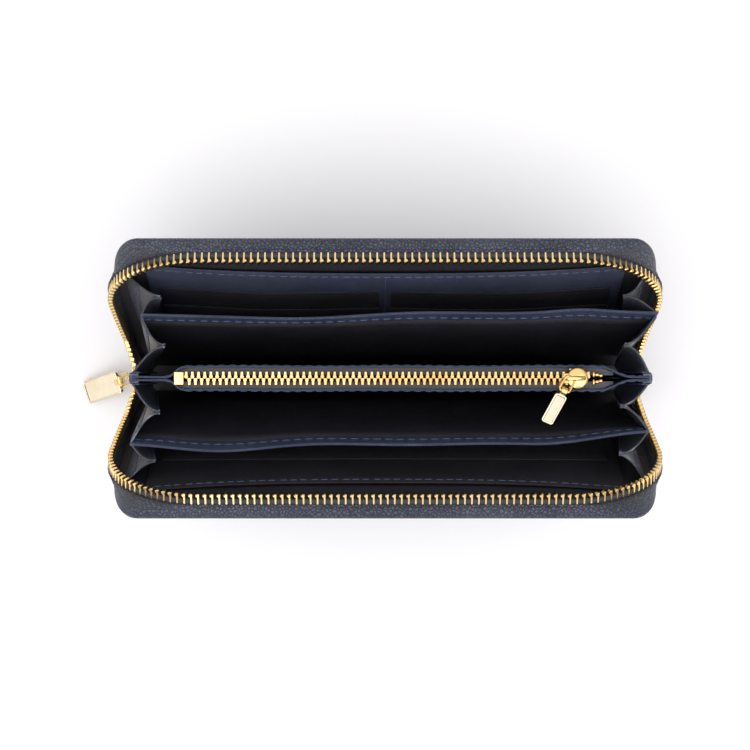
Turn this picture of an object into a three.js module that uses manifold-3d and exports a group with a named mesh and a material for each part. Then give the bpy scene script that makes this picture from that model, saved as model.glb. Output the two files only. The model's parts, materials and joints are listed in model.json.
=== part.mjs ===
// Zip-around passport wallet standing on its spine, both covers spread into a V.
// Millimetres. +X runs along the wallet, +Y points to the rear cover, +Z is up.
// The origin is the centre of the spine's underside.
import * as THREE from 'three';
import { mergeGeometries, mergeVertices } from 'three/addons/utils/BufferGeometryUtils.js';
import Module from 'manifold-3d';

const wasm = await Module();
wasm.setup();
const rad = THREE.MathUtils.degToRad;

// ---- whole wallet ----
const LENGTH = 200;
const COVER_HEIGHT = 98.5; // top edge of a cover above its fold axis
const HALF_THICKNESS = 10.8; // closed wallet, from the middle plane to a cover's outside
const CORNER_RADIUS = 20;
const FOLD_RADIUS = 3; // outside of the leather where the spine turns into a cover
const COVER_LEAN = rad(24);
const DIVIDER_LEAN = rad(14);
const OPEN_FURTHER = rad(8.6); // how much more a cover can lean before the gussets are taut
const GAP = 0.3;
const LOOSE = 0.4; // room round what moves or is only folded into place

// ---- layers of a cover, from the outside in ----
const LEATHER = 1;
const BOARD = 0.5;
const LINING = 0.3;
const SLIP_PANEL = 0.4;
const SPINE_LINING_INSET = 1.3; // from a fold axis in to the spine's board and lining
const SPINE_END_INSET = 2;
const WRAP_SPARE = rad(5); // bare stretch between the spine's leather and a cover leaned right back
const CARD_PANEL = 0.35;
const CARD_GAP = 0.2;
const BOARD_INSET = 3;
const LINING_INSET = 4;
const SLIP_DROP = 21.5; // from the cover's top edge down to the slip panel's
const SLIP_INSET = 12; // from the cover's end to the slip panel's end
const CARD_DROPS = [15, 28, 42]; // from the slip panel's edge down to each card pocket's
const CARD_BOTTOM = 4;
const CARD_INSET = 16;
const CARD_SEAM = 5; // width of the seam between the two columns of card pockets
const DOCUMENT_DROP = 19;

// ---- main zip, round three sides of each cover ----
const BAND = 1.2; // leather band turned in at the cover's edge
const BAND_DEPTH = 5.4;
const BAND_FOOT = 2;
const TAPE = 0.5;
const TAPE_DEPTH = 3.6;
const TOOTH_HEIGHT = 2.2; // across the tape's faces
const TOOTH_LENGTH = 4; // from the tape's edge to the tooth's head
const TOOTH_PITCH = 2.5;
const TOOTH_WIDTH = 1.25;
const BEAD_LENGTH = 1.8; // the corded edge that the teeth grip
const BEAD_GRIP = 0.3; // how far a tooth runs into the bead
const BEAD_STEP = 0.1; // how much lower a tooth is than the bead, on each face
const CHAIN_INSET = 0.8;
const CHAIN_START = 17; // above the fold axis, at the slider's end
const CHAIN_END = 16;
const TOP_STOP_LENGTH = 3.5;
const TOP_STOP_DEPTH = 3.4;
const BOTTOM_STOP_HALF_WIDTH = 2.8;

// ---- dividers and gussets ----
const DIVIDER = 0.8;
const DIVIDER_DROP = 19.5; // from the cover's top edge down to the divider's
const DIVIDER_INSET = 7;
const HEM_HEIGHT = 9;
const LEAF_START = 1; // lowest edge of a leaf above its fold axis
const GUSSET = 0.5;
const GUSSET_DEPTH = 11;
const GUSSET_DROP = 4; // from the divider's edge down to the gusset's
const COVER_GUSSET_START = 27;
const COIN_GUSSET_START = 15;

// ---- coin pocket, upright in the middle ----
const COIN_DROP = 18.5; // from the cover's top edge, closed, down to the pocket's
const COIN_HALF_WIDTH = 4.3;
const COIN_FOOT_HALF_WIDTH = 3.4;
const COIN_END_HALF_WIDTH = 1.15;
const COIN_PANEL = 0.8;
const COIN_PINCH = 13; // how far from its end the pocket starts to close up
const COIN_CHAIN_LEFT_INSET = 20; // from the pocket's end to the chain's
const COIN_CHAIN_RIGHT_INSET = 18;
const COIN_CHAIN_RISE = 0.6; // the chain's top above the pocket's edge
const COIN_CHAIN_INSIDE = 0.6; // from the middle plane to a tooth's head
const COIN_TOOTH_LENGTH = 1.8;
const COIN_TOOTH_HEIGHT = 2.2;
const COIN_TOOTH_PITCH = 2.25;
const COIN_TOOTH_WIDTH = 1.2;
const COIN_BEAD = 0.8;
const COIN_TAPE_DEPTH = 4;
const COIN_STOP_LENGTH = 3.6;
const COIN_STOP_PROUD = 0.3;

// ---- sliders and pulls ----
const PLATE = 1;
const SINK = 0.5; // how far one lump of a casting runs into the next
const COIN_SLIDER_INSET = 5.3; // from the chain's right end to the slider's middle
const COIN_SLIDER_LENGTH = 7.6;
const COIN_SLIDER_HALF_WIDTH = 4.2;
const COIN_POST_OFFSET = 2.7; // from the slider's middle back to the pull's post
const COIN_POST_RISE = 2.5; // the pull's pivot above the slider's top plate
const COIN_POST_RADIUS = 0.6;
const COIN_POST_CAP = { radius: 1.4, height: 0.7 };
const COIN_PULL_YAW = rad(63); // away from the chain, to the front
const COIN_PULL_PITCH = rad(20);
const COIN_LINK_REACH = 5.45;
const COIN_LINK = { tail: 2, halfWidth: 2.4, eye: 1, windowStart: 2.2, windowHalf: 1.6 };
const COIN_TAB = { length: 14, width: 5, thickness: 1.4 };
const MAIN_SLIDER_BASE = 7;
const MAIN_SLIDER_LENGTH = 9;
const MAIN_SLIDER_HALF_WIDTH = 4.3;
const MAIN_PIVOT_OUT = 1.4; // from the slider's outer plate to the pull's pivot
const MAIN_PULL_YAW = rad(18);
const MAIN_LINK_PITCH = rad(35);
const MAIN_TAB_PITCH = rad(23);
const MAIN_LINK_REACH = 5.6;
const MAIN_LINK = { halfWidth: 2.6, windowHalf: 1.7 };
const MAIN_BRIDGE = { half: 3.2, halfWidth: 0.9 };
const MAIN_WEB = { length: 3.5, halfWidth: 0.7 };
const MAIN_TAB = { length: 16.5, width: 8, thickness: 1.8 };
const WIRE = 0.9; // square wire of both links
const BARREL = { inner: 0.9, outer: 1.5, halfWidth: 1.2 };
const TAB_NECK_START = 0.25; // from the barrel's bore to the neck
const TAB_START = 0.2; // from the barrel's outside to the tab's flat part

// ---- worked out from the sizes above ----
const AXIS_Y = HALF_THICKNESS - FOLD_RADIUS;
const AXIS_Z = FOLD_RADIUS;
const HALF = LENGTH / 2;
const BOARD_OUT = FOLD_RADIUS - LEATHER - GAP;
const LINING_OUT = BOARD_OUT - BOARD - GAP;
const SLIP_OUT = LINING_OUT - LINING - GAP;
const CARD_OUT = SLIP_OUT - SLIP_PANEL - CARD_GAP;
const CARD_STEP = CARD_PANEL + CARD_GAP;
const BAND_IN = FOLD_RADIUS - BAND_DEPTH;
const CHAIN_OUT = BAND_IN - GAP;
const CHAIN_IN = CHAIN_OUT - TOOTH_LENGTH;
const DIVIDER_OUT = BAND_IN;
const SLIP_HEIGHT = COVER_HEIGHT - SLIP_DROP;
const CARD_TOPS = CARD_DROPS.map((drop) => SLIP_HEIGHT - drop);
const DOCUMENT_HEIGHT = SLIP_HEIGHT - DOCUMENT_DROP;
const DIVIDER_HEIGHT = COVER_HEIGHT - DIVIDER_DROP;
const GUSSET_TOP = DIVIDER_HEIGHT - GUSSET_DROP;
const COIN_TOP = COVER_HEIGHT - COIN_DROP;
const COIN_CHAIN_TOP = COIN_TOP + COIN_CHAIN_RISE;
const COIN_TAPE_OUT = COIN_HALF_WIDTH - COIN_PANEL - GAP;
const COIN_HALF = HALF - DIVIDER_INSET;
const COIN_CHAIN_LEFT = -(COIN_HALF - COIN_CHAIN_LEFT_INSET);
const COIN_CHAIN_RIGHT = COIN_HALF - COIN_CHAIN_RIGHT_INSET;
const COIN_SLIDER_X = COIN_CHAIN_RIGHT - COIN_SLIDER_INSET;
const COIN_POST_X = COIN_SLIDER_X - COIN_POST_OFFSET;
const FLOOR_STACK = LEATHER + GAP + BOARD + GAP + LINING + LOOSE;

// ---- materials ----
const material = (color, roughness, metalness = 0) =>
  new THREE.MeshStandardMaterial({ color, roughness, metalness });
const leather = () => material(0x363b4c, 0.5);
const lining = () => material(0x1b1d24, 0.7);
const board = () => material(0x4a4640, 0.9);
const tape = () => material(0x2b2c30, 0.9);
const gold = () => material(0xd8b25e, 0.22, 1);

// ---- building helpers ----
function addMesh(parent, name, geometry, look) {
  const mesh = new THREE.Mesh(geometry, look);
  mesh.name = name;
  parent.add(mesh);
  return mesh;
}

function extrude(shape, depth) {
  return new THREE.ExtrudeGeometry(shape, { depth, bevelEnabled: false, curveSegments: 7 });
}

// A shape drawn in (x, z), made solid between two values of y.
function plate(shape, yLow, yHigh) {
  return extrude(shape, yHigh - yLow).rotateX(Math.PI / 2).translate(0, yHigh, 0);
}

// A shape drawn in (y, z), made solid between two values of x.
function bar(shape, xLow, xHigh) {
  const turned = new THREE.Matrix4().makeBasis(
    new THREE.Vector3(0, 1, 0), new THREE.Vector3(0, 0, 1), new THREE.Vector3(1, 0, 0));
  return extrude(shape, xHigh - xLow).applyMatrix4(turned).translate(xLow, 0, 0);
}

function box(xLow, xHigh, yLow, yHigh, zLow, zHigh) {
  return new THREE.BoxGeometry(xHigh - xLow, yHigh - yLow, zHigh - zLow)
    .translate((xLow + xHigh) / 2, (yLow + yHigh) / 2, (zLow + zHigh) / 2);
}

function toSolid(geometry) {
  const bare = geometry.clone();
  bare.deleteAttribute('normal');
  bare.deleteAttribute('uv');
  const merged = mergeVertices(bare, 1e-4);
  return new wasm.Manifold(new wasm.Mesh({
    numProp: 3,
    vertProperties: new Float32Array(merged.attributes.position.array),
    triVerts: new Uint32Array(merged.index.array),
  }));
}

function join(...geometries) {
  const joined = geometries.map(toSolid).reduce((sum, solid) => sum.add(solid));
  const mesh = joined.getMesh();
  const geometry = new THREE.BufferGeometry();
  geometry.setAttribute('position', new THREE.BufferAttribute(mesh.vertProperties, 3));
  geometry.setIndex(new THREE.BufferAttribute(mesh.triVerts, 1));
  geometry.computeVertexNormals();
  return geometry;
}

// A closed solid between two grids of points, which are the two faces of a sheet.
function sheet(front, back) {
  const rows = front.length;
  const columns = front[0].length;
  const points = [...front.flat(), ...back.flat()];
  const at = (face, i, j) => face * rows * columns + i * columns + j;
  const triangles = [];
  const quad = (a, b, c, d) => triangles.push(a, b, c, a, c, d);
  for (let i = 0; i + 1 < rows; i++) {
    for (let j = 0; j + 1 < columns; j++) {
      quad(at(0, i, j), at(0, i, j + 1), at(0, i + 1, j + 1), at(0, i + 1, j));
      quad(at(1, i, j), at(1, i + 1, j), at(1, i + 1, j + 1), at(1, i, j + 1));
    }
  }
  const last = rows - 1;
  const end = columns - 1;
  for (let j = 0; j < end; j++) {
    quad(at(0, 0, j), at(1, 0, j), at(1, 0, j + 1), at(0, 0, j + 1));
    quad(at(0, last, j), at(0, last, j + 1), at(1, last, j + 1), at(1, last, j));
  }
  for (let i = 0; i < last; i++) {
    quad(at(0, i, 0), at(0, i + 1, 0), at(1, i + 1, 0), at(1, i, 0));
    quad(at(0, i, end), at(1, i, end), at(1, i + 1, end), at(0, i + 1, end));
  }
  const volume = triangles.reduce((sum, _, k) => k % 3 ? sum : sum
    + points[triangles[k]].dot(points[triangles[k + 1]].clone().cross(points[triangles[k + 2]])), 0);
  const geometry = new THREE.BufferGeometry().setFromPoints(points);
  geometry.setIndex(volume > 0 ? triangles : triangles.reverse());
  geometry.computeVertexNormals();
  return geometry;
}

// ---- outlines ----
// A cover's outline, moved in by an inset: straight ends and foot, two rounded top corners.
function coverShape(inset, foot) {
  const w = HALF - inset;
  const top = COVER_HEIGHT - inset;
  const r = CORNER_RADIUS - inset;
  const shape = new THREE.Shape();
  shape.moveTo(-w, foot);
  shape.lineTo(w, foot);
  shape.absarc(w - r, top - r, r, 0, Math.PI / 2, false);
  shape.absarc(-w + r, top - r, r, Math.PI / 2, Math.PI, false);
  return shape;
}

// The arch between two insets of the same outline, with its own foot at each end.
function archShape(outside, inside, leftFoot, rightFoot) {
  const w = HALF - outside;
  const v = HALF - inside;
  const r = CORNER_RADIUS - outside;
  const q = CORNER_RADIUS - inside;
  const z = COVER_HEIGHT - CORNER_RADIUS;
  const x = HALF - CORNER_RADIUS;
  const shape = new THREE.Shape();
  shape.moveTo(v, rightFoot);
  shape.lineTo(w, rightFoot);
  shape.absarc(x, z, r, 0, Math.PI / 2, false);
  shape.absarc(-x, z, r, Math.PI / 2, Math.PI, false);
  shape.lineTo(-w, leftFoot);
  shape.lineTo(-v, leftFoot);
  shape.absarc(-x, z, q, Math.PI, Math.PI / 2, true);
  shape.absarc(x, z, q, Math.PI / 2, 0, true);
  return shape;
}

function rectangle(xLow, xHigh, zLow, zHigh) {
  return new THREE.Shape([
    new THREE.Vector2(xLow, zLow), new THREE.Vector2(xHigh, zLow),
    new THREE.Vector2(xHigh, zHigh), new THREE.Vector2(xLow, zHigh),
  ]);
}

// ---- spine: leather outside, stiffener, lining ----
function spineLeather() {
  const wrap = Math.PI / 2 - COVER_LEAN - OPEN_FURTHER - WRAP_SPARE;
  const down = -Math.PI / 2;
  const inner = FOLD_RADIUS - LEATHER;
  const shape = new THREE.Shape();
  shape.absarc(AXIS_Y, AXIS_Z, FOLD_RADIUS, down, down + wrap, false);
  shape.absarc(AXIS_Y, AXIS_Z, inner, down + wrap, down, true);
  shape.absarc(-AXIS_Y, AXIS_Z, inner, down, down - wrap, true);
  shape.absarc(-AXIS_Y, AXIS_Z, FOLD_RADIUS, down - wrap, down, false);
  return bar(shape, -HALF, HALF);
}

function addSpine(parent) {
  const boardLow = LEATHER + GAP;
  const liningLow = boardLow + BOARD + GAP;
  const reach = AXIS_Y - SPINE_LINING_INSET;
  const end = HALF - SPINE_END_INSET;
  addMesh(parent, 'spine_leather', spineLeather(), leather());
  addMesh(parent, 'spine_board',
    box(-end, end, -reach, reach, boardLow, boardLow + BOARD), board());
  addMesh(parent, 'spine_lining',
    box(-end, end, -reach, reach, liningLow, liningLow + LINING), lining());
  const chainOut = HALF - CHAIN_INSET;
  addMesh(parent, 'main_bottom_stop', box(-chainOut, -chainOut + TOOTH_HEIGHT,
    -BOTTOM_STOP_HALF_WIDTH, BOTTOM_STOP_HALF_WIDTH, FLOOR_STACK, MAIN_SLIDER_BASE - GAP - LOOSE), gold());
}

// ---- one cover and its layers; closed position, before the group leans ----
// Teeth stand across the arch at even steps along it, joined to the bead. The two rows are half a
// pitch apart, so that each tooth of one closes between two of the other.
function mainChain(leftFoot, rightFoot, phase) {
  const bead = plate(archShape(CHAIN_INSET, CHAIN_INSET + TOOTH_HEIGHT, leftFoot, rightFoot),
    CHAIN_OUT - BEAD_LENGTH, CHAIN_OUT);
  const x = HALF - CORNER_RADIUS;
  const z = COVER_HEIGHT - CORNER_RADIUS;
  const r = CORNER_RADIUS - CHAIN_INSET - TOOTH_HEIGHT / 2;
  const path = new THREE.CurvePath();
  const corner = (centre, from) => new THREE.Path().absarc(centre, z, r, from, from - Math.PI / 2, true);
  path.add(new THREE.LineCurve(new THREE.Vector2(-x - r, leftFoot), new THREE.Vector2(-x - r, z)));
  path.add(corner(-x, Math.PI).curves[0]);
  path.add(new THREE.LineCurve(new THREE.Vector2(-x, z + r), new THREE.Vector2(x, z + r)));
  path.add(corner(x, Math.PI / 2).curves[0]);
  path.add(new THREE.LineCurve(new THREE.Vector2(x + r, z), new THREE.Vector2(x + r, rightFoot)));
  const length = path.getLength();
  const teeth = [];
  for (let s = (1 + phase) * TOOTH_PITCH; s < length - TOOTH_WIDTH; s += TOOTH_PITCH) {
    const at = path.getPointAt(s / length);
    const along = path.getTangentAt(s / length);
    const grip = TOOTH_LENGTH - BEAD_LENGTH + BEAD_GRIP;
    teeth.push(new THREE.BoxGeometry(TOOTH_WIDTH, grip, TOOTH_HEIGHT - 2 * BEAD_STEP)
      .rotateY(-Math.atan2(along.y, along.x))
      .translate(at.x, CHAIN_IN + grip / 2, at.y));
  }
  return join(bead, mergeGeometries(teeth));
}

function addCover(parent, side, leftSign) {
  const group = new THREE.Group();
  group.rotation.x = -COVER_LEAN;
  parent.add(group);
  addMesh(group, `${side}_cover_shell`,
    plate(coverShape(BAND + GAP, 0), FOLD_RADIUS - LEATHER, FOLD_RADIUS), leather());
  addMesh(group, `${side}_edge_band`,
    plate(archShape(0, BAND, BAND_FOOT, BAND_FOOT), BAND_IN, FOLD_RADIUS), leather());
  addMesh(group, `${side}_cover_board`,
    plate(coverShape(BOARD_INSET, LEAF_START), BOARD_OUT - BOARD, BOARD_OUT), board());
  addMesh(group, `${side}_cover_lining`,
    plate(coverShape(LINING_INSET, LEAF_START), LINING_OUT - LINING, LINING_OUT), lining());
  const slip = HALF - SLIP_INSET;
  addMesh(group, `${side}_slip_panel`,
    plate(rectangle(-slip, slip, CARD_BOTTOM, SLIP_HEIGHT), SLIP_OUT - SLIP_PANEL, SLIP_OUT), leather());
  const tapeInset = BAND + GAP;
  addMesh(group, `${side}_zip_tape`,
    plate(archShape(tapeInset, tapeInset + TAPE, CHAIN_START, CHAIN_START),
      BAND_IN, BAND_IN + TAPE_DEPTH), tape());
  const leftFoot = leftSign < 0 ? CHAIN_START : CHAIN_END;
  const rightFoot = leftSign < 0 ? CHAIN_END : CHAIN_START;
  addMesh(group, `${side}_zip_chain`,
    mainChain(leftFoot, rightFoot, leftSign < 0 ? 0 : 0.5), gold());
  const stopOut = -leftSign * (HALF - CHAIN_INSET);
  const stopIn = -leftSign * (HALF - CHAIN_INSET - TOOTH_HEIGHT);
  addMesh(group, `${side}_zip_top_stop`,
    box(Math.min(stopOut, stopIn), Math.max(stopOut, stopIn), CHAIN_OUT - TOP_STOP_DEPTH, CHAIN_OUT,
      CHAIN_END - GAP - TOP_STOP_LENGTH, CHAIN_END - GAP), gold());
  if (side === 'rear') {
    addCardPockets(group);
  } else {
    const reach = HALF - CARD_INSET;
    addMesh(group, 'front_document_panel', plate(rectangle(-reach, reach, CARD_BOTTOM, DOCUMENT_HEIGHT),
      CARD_OUT - CARD_PANEL, CARD_OUT), leather());
  }
}

// Two columns of card pockets, each panel lower and further in than the one behind it.
function addCardPockets(group) {
  const near = CARD_SEAM / 2;
  const far = HALF - CARD_INSET;
  CARD_TOPS.forEach((top, row) => {
    const out = CARD_OUT - row * CARD_STEP;
    for (const [column, low, high] of [['left', -far, -near], ['right', near, far]]) {
      addMesh(group, `card_pocket_${column}_${row + 1}`,
        plate(rectangle(low, high, CARD_BOTTOM, top), out - CARD_PANEL, out), leather());
    }
  });
}

function addDivider(parent, side) {
  const group = new THREE.Group();
  group.rotation.x = -DIVIDER_LEAN;
  parent.add(group);
  const reach = HALF - DIVIDER_INSET;
  const hemFoot = DIVIDER_HEIGHT - HEM_HEIGHT;
  addMesh(group, `${side}_divider_panel`,
    plate(rectangle(-reach, reach, LEAF_START, hemFoot - GAP), DIVIDER_OUT - DIVIDER, DIVIDER_OUT), lining());
  addMesh(group, `${side}_divider_hem`,
    plate(rectangle(-reach, reach, hemFoot, DIVIDER_HEIGHT), DIVIDER_OUT - DIVIDER, DIVIDER_OUT), leather());
}

// ---- gussets: a folded strip at each end of each compartment ----
// A point of a leaf: its lean, its distance out from the fold axis, its height along the leaf.
function onLeaf(lean, out, up, x) {
  return new THREE.Vector3(x,
    out * Math.cos(lean) + up * Math.sin(lean),
    -out * Math.sin(lean) + up * Math.cos(lean));
}

function gusset(end, edgeA, edgeB, foot) {
  const fold = end * (HALF - DIVIDER_INSET);
  const tip = end * (HALF - DIVIDER_INSET - GUSSET_DEPTH);
  const front = [];
  const back = [];
  for (const up of [foot, GUSSET_TOP]) {
    const a = edgeA(up, fold);
    const b = edgeB(up, fold);
    const middle = a.clone().add(b).multiplyScalar(0.5).setX(tip);
    const shift = new THREE.Vector3(-end * GUSSET, 0, 0);
    front.push([a, middle, b]);
    back.push([a.clone().add(shift), middle.clone().add(shift), b.clone().add(shift)]);
  }
  return sheet(front, back);
}

function addGussets(parent, side, leftSign) {
  const coverEdge = (up, x) => onLeaf(COVER_LEAN, SLIP_OUT, up, x);
  const dividerOutside = (up, x) => onLeaf(DIVIDER_LEAN, DIVIDER_OUT + LOOSE, up, x);
  const dividerInside = (up, x) => onLeaf(DIVIDER_LEAN, DIVIDER_OUT - DIVIDER - LOOSE, up, x);
  const coinEdge = (up, x) => new THREE.Vector3(x, COIN_END_HALF_WIDTH + LOOSE - AXIS_Y, up);
  for (const [name, end] of [['left', leftSign], ['right', -leftSign]]) {
    addMesh(parent, `${side}_cover_gusset_${name}`,
      gusset(end, dividerOutside, coverEdge, COVER_GUSSET_START), leather());
    addMesh(parent, `${side}_coin_gusset_${name}`,
      gusset(end, coinEdge, dividerInside, COIN_GUSSET_START), leather());
  }
}

// ---- coin pocket ----
// Each panel bulges in the middle and closes up towards both ends.
function coinPanel(sign) {
  const stations = [-COIN_HALF, -COIN_HALF + COIN_PINCH, COIN_HALF - COIN_PINCH, COIN_HALF];
  const widths = (middle) => [COIN_END_HALF_WIDTH, middle, middle, COIN_END_HALF_WIDTH];
  const face = (inset) => [[FLOOR_STACK, COIN_FOOT_HALF_WIDTH], [COIN_TOP, COIN_HALF_WIDTH]].map(
    ([z, middle]) => stations.map(
      (x, k) => new THREE.Vector3(x, sign * (widths(middle)[k] - inset), z)));
  return sheet(face(0), face(COIN_PANEL));
}

function coinChain(sign) {
  const low = COIN_CHAIN_TOP - COIN_TOOTH_HEIGHT;
  const outer = COIN_CHAIN_INSIDE + COIN_TOOTH_LENGTH;
  const span = (from, to) => [Math.min(sign * from, sign * to), Math.max(sign * from, sign * to)];
  const bead = box(COIN_CHAIN_LEFT, COIN_CHAIN_RIGHT, ...span(outer - COIN_BEAD, outer),
    low, COIN_CHAIN_TOP);
  const teeth = [];
  const start = COIN_CHAIN_LEFT + COIN_TOOTH_PITCH * (sign > 0 ? 0.5 : 1);
  for (let x = start; x < COIN_CHAIN_RIGHT - COIN_TOOTH_WIDTH; x += COIN_TOOTH_PITCH) {
    teeth.push(box(x - COIN_TOOTH_WIDTH / 2, x + COIN_TOOTH_WIDTH / 2,
      ...span(COIN_CHAIN_INSIDE, outer - COIN_BEAD + BEAD_GRIP), low + BEAD_STEP,
      COIN_CHAIN_TOP - BEAD_STEP));
  }
  return join(bead, mergeGeometries(teeth));
}

function addCoinPocket(parent) {
  const chainFoot = COIN_CHAIN_TOP - COIN_TOOTH_HEIGHT;
  const baseEnd = COIN_HALF - COIN_PINCH;
  const baseHalf = COIN_FOOT_HALF_WIDTH - COIN_PANEL - LOOSE;
  addMesh(parent, 'coin_pocket_base', box(-baseEnd, baseEnd, -baseHalf, baseHalf,
    FLOOR_STACK, FLOOR_STACK + LEATHER), lining());
  for (const [side, sign] of [['rear', 1], ['front', -1]]) {
    addMesh(parent, `coin_${side}_panel`, coinPanel(sign), leather());
    const tapeEdges = [sign * COIN_TAPE_OUT, sign * (COIN_TAPE_OUT - TAPE)].sort((a, b) => a - b);
    addMesh(parent, `coin_zip_tape_${side}`, box(COIN_CHAIN_LEFT, COIN_CHAIN_RIGHT, ...tapeEdges,
      COIN_TOP - COIN_TAPE_DEPTH, COIN_TOP), tape());
    addMesh(parent, `coin_zip_chain_${side}`, coinChain(sign), gold());
    const stopEdges = [sign * COIN_CHAIN_INSIDE, sign * (COIN_CHAIN_INSIDE + COIN_TOOTH_LENGTH)];
    stopEdges.sort((a, b) => a - b);
    addMesh(parent, `coin_top_stop_${side}`, box(COIN_CHAIN_RIGHT + GAP,
      COIN_CHAIN_RIGHT + GAP + COIN_STOP_LENGTH, ...stopEdges, chainFoot, COIN_CHAIN_TOP), gold());
  }
  const stopHalf = COIN_CHAIN_INSIDE + COIN_TOOTH_LENGTH;
  addMesh(parent, 'coin_bottom_stop', box(COIN_CHAIN_LEFT - GAP - COIN_STOP_LENGTH,
    COIN_CHAIN_LEFT - GAP, -stopHalf, stopHalf,
    chainFoot - COIN_STOP_PROUD, COIN_CHAIN_TOP + COIN_STOP_PROUD), gold());
}

// ---- pulls: a link with a window, and a tab whose barrel turns on the link's end bar ----
function link(reach, tail, halfWidth, holes) {
  const shape = rectangle(-tail, reach + WIRE / 2, -halfWidth, halfWidth);
  shape.holes.push(...holes);
  return extrude(shape, WIRE).translate(0, 0, -WIRE / 2);
}

function windowHole(from, to, halfWidth) {
  return new THREE.Path(rectangle(from, to, -halfWidth, halfWidth).getPoints());
}

function pullTab({ length, width, thickness }) {
  const ring = new THREE.Shape(circlePoints(BARREL.outer));
  ring.holes.push(new THREE.Path(circlePoints(BARREL.inner)));
  const barrel = extrude(ring, 2 * BARREL.halfWidth).rotateX(Math.PI / 2)
    .translate(0, BARREL.halfWidth, 0);
  const flat = rectangle(BARREL.outer + TAB_START, length, -width / 2, width / 2);
  const neck = box(BARREL.inner + TAB_NECK_START, BARREL.outer + TAB_START + SINK,
    -BARREL.halfWidth, BARREL.halfWidth, -thickness / 2, thickness / 2);
  return join(barrel, neck, extrude(flat, thickness).translate(0, 0, -thickness / 2));
}

function circlePoints(radius, count = 12) {
  return Array.from({ length: count }, (_, k) => new THREE.Vector2(
    radius * Math.cos((2 * Math.PI * k) / count), radius * Math.sin((2 * Math.PI * k) / count)));
}

// A group at a pivot whose +X points along `out` and whose +Z is as given.
function pivotGroup(parent, position, out, up) {
  const group = new THREE.Group();
  const across = up.clone().cross(out);
  group.quaternion.setFromRotationMatrix(new THREE.Matrix4().makeBasis(out, across, up));
  group.position.copy(position);
  parent.add(group);
  return group;
}

// Coin zip: the slider's plates above and below the chain, held by a thin web between them.
const coinPlateTop = COIN_CHAIN_TOP + GAP + PLATE;
const coinOut = new THREE.Vector3(
  -Math.cos(COIN_PULL_YAW) * Math.cos(COIN_PULL_PITCH),
  -Math.sin(COIN_PULL_YAW) * Math.cos(COIN_PULL_PITCH),
  -Math.sin(COIN_PULL_PITCH));
// The pull swings from there to straight along the chain, so its axis is square to both.
const coinUp = new THREE.Vector3(-1, 0, 0).cross(coinOut).normalize();
const coinPivot = new THREE.Vector3(COIN_POST_X, 0, coinPlateTop + COIN_POST_RISE);

function addCoinSlider(parent) {
  const low = COIN_SLIDER_X - COIN_SLIDER_LENGTH / 2;
  const high = COIN_SLIDER_X + COIN_SLIDER_LENGTH / 2;
  const w = COIN_SLIDER_HALF_WIDTH;
  const under = COIN_CHAIN_INSIDE + COIN_TOOTH_LENGTH;
  const chainFoot = COIN_CHAIN_TOP - COIN_TOOTH_HEIGHT;
  const crown = new THREE.Shape();
  crown.absellipse(COIN_SLIDER_X, 0, COIN_SLIDER_LENGTH / 2, w, 0, 2 * Math.PI);
  const top = extrude(new THREE.Shape(crown.getPoints(4).slice(1)), PLATE)
    .translate(0, 0, coinPlateTop - PLATE);
  const bottom = box(low, high, -under, under, chainFoot - GAP - PLATE, chainFoot - GAP);
  const web = box(COIN_SLIDER_X, high - PLATE, -GAP, GAP,
    chainFoot - GAP - SINK, coinPlateTop - SINK);
  const capFoot = WIRE / 2 + GAP;
  const postLength = capFoot + SINK + COIN_POST_RISE + PLATE / 2;
  const post = new THREE.CylinderGeometry(COIN_POST_RADIUS, COIN_POST_RADIUS, postLength, 12)
    .rotateX(Math.PI / 2).translate(0, 0, capFoot + SINK - postLength / 2);
  const cap = new THREE.CylinderGeometry(COIN_POST_CAP.radius, COIN_POST_CAP.radius,
    COIN_POST_CAP.height, 12).rotateX(Math.PI / 2).translate(0, 0, capFoot + COIN_POST_CAP.height / 2);
  const tilt = new THREE.Matrix4().makeBasis(coinOut, coinUp.clone().cross(coinOut), coinUp)
    .setPosition(coinPivot);
  addMesh(parent, 'coin_slider_body',
    join(top, bottom, web, post.applyMatrix4(tilt), cap.applyMatrix4(tilt)), gold());
  const swing = pivotGroup(parent, coinPivot, coinOut, coinUp);
  addMesh(swing, 'coin_slider_link', link(COIN_LINK_REACH, COIN_LINK.tail, COIN_LINK.halfWidth, [
    new THREE.Path(circlePoints(COIN_LINK.eye)),
    windowHole(COIN_LINK.windowStart, COIN_LINK_REACH - WIRE / 2, COIN_LINK.windowHalf)]), gold());
  addMesh(swing, 'coin_pull_tab', pullTab(COIN_TAB), gold()).position.x = COIN_LINK_REACH;
}

// Main zip: the slider sits at its bottom stop at the left end, its plates facing +X and -X.
const mainPlateIn = -(HALF - CHAIN_INSET + GAP);
const mainPlateOut = mainPlateIn - PLATE;
const mainPivot = new THREE.Vector3(mainPlateOut - MAIN_PIVOT_OUT, 0,
  MAIN_SLIDER_BASE + MAIN_SLIDER_LENGTH / 2);
const outward = (pitch) => new THREE.Vector3(
  -Math.cos(MAIN_PULL_YAW) * Math.cos(pitch), -Math.sin(MAIN_PULL_YAW) * Math.cos(pitch), -Math.sin(pitch));
const mainAcross = new THREE.Vector3(Math.sin(MAIN_PULL_YAW), -Math.cos(MAIN_PULL_YAW), 0);
const upFrom = (out) => out.clone().cross(mainAcross);

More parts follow.
